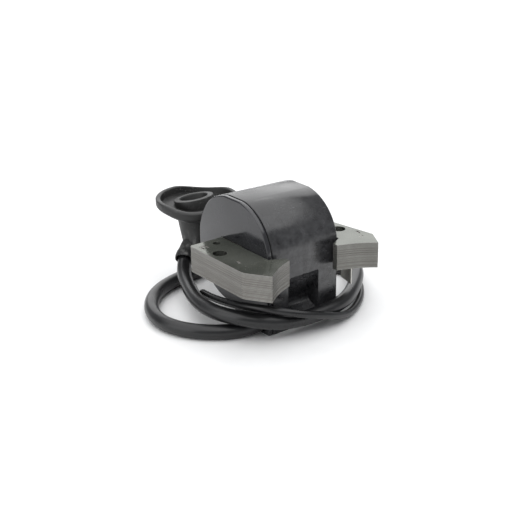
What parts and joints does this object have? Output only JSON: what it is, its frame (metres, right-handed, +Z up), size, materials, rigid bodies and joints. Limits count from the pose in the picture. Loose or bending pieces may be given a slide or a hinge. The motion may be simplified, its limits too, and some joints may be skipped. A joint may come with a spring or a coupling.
{
  "type": "ignition coil",
  "caption": "Small-engine ignition coil: potted winding in a rounded case on a laminated core with flywheel poles, high-tension lead to a flanged plug boot, and a thin kill wire.",
  "frame": {"origin": "middle of the footprint of the case and core, at the height of the case's resting face, leads and boot left out", "axes": "+X along the winding axis towards the closed end of the case and the kill-wire grommet, -Y towards the flywheel, +Z up, square to the laminations"},
  "size_m": [0.1183, 0.1115, 0.0591],
  "materials": {
    "core_steel": "bare stamped laminations, dull grey",
    "case_plastic": "moulded dark grey, satin",
    "bobbin_plastic": "natural nylon",
    "copper_wire": "enamelled copper",
    "potting": "cast epoxy",
    "brass": "drawn wire",
    "circuit_board": "glass-filled board",
    "component_black": "moulded packages",
    "component_tan": "lacquered components",
    "grommet_rubber": "moulded black",
    "zinc_steel": "zinc plated, dull",
    "lead_rubber": "extruded black, satin",
    "wire_rubber": "extruded black, satin",
    "boot_rubber": "moulded black, matte",
    "spring_steel": "bright spring wire"
  },
  "bodies": {
    "root": {"core_yoke": "core_steel", "left_leg": "core_steel", "right_leg": "core_steel", "coil_case": "case_plastic", "end_cover": "case_plastic", "primary_bobbin": "bobbin_plastic", "secondary_bobbin": "bobbin_plastic", "primary_winding": "copper_wire", "secondary_winding_1": "copper_wire", "secondary_winding_2": "copper_wire", "secondary_winding_3": "copper_wire", "secondary_winding_4": "copper_wire", "secondary_winding_5": "copper_wire", "potting_compound": "potting", "ht_terminal": "brass", "control_board": "circuit_board", "power_transistor": "component_black", "control_transistor": "component_black", "protection_diode": "component_black", "filter_capacitor": "component_tan", "bias_resistor": "component_tan", "kill_lead_grommet": "grommet_rubber", "ground_strap": "zinc_steel", "ground_strap_rivet": "zinc_steel", "ht_lead": "lead_rubber", "kill_lead": "wire_rubber", "plug_boot": "boot_rubber", "plug_terminal_spring": "spring_steel"}
  },
  "joints": []
}
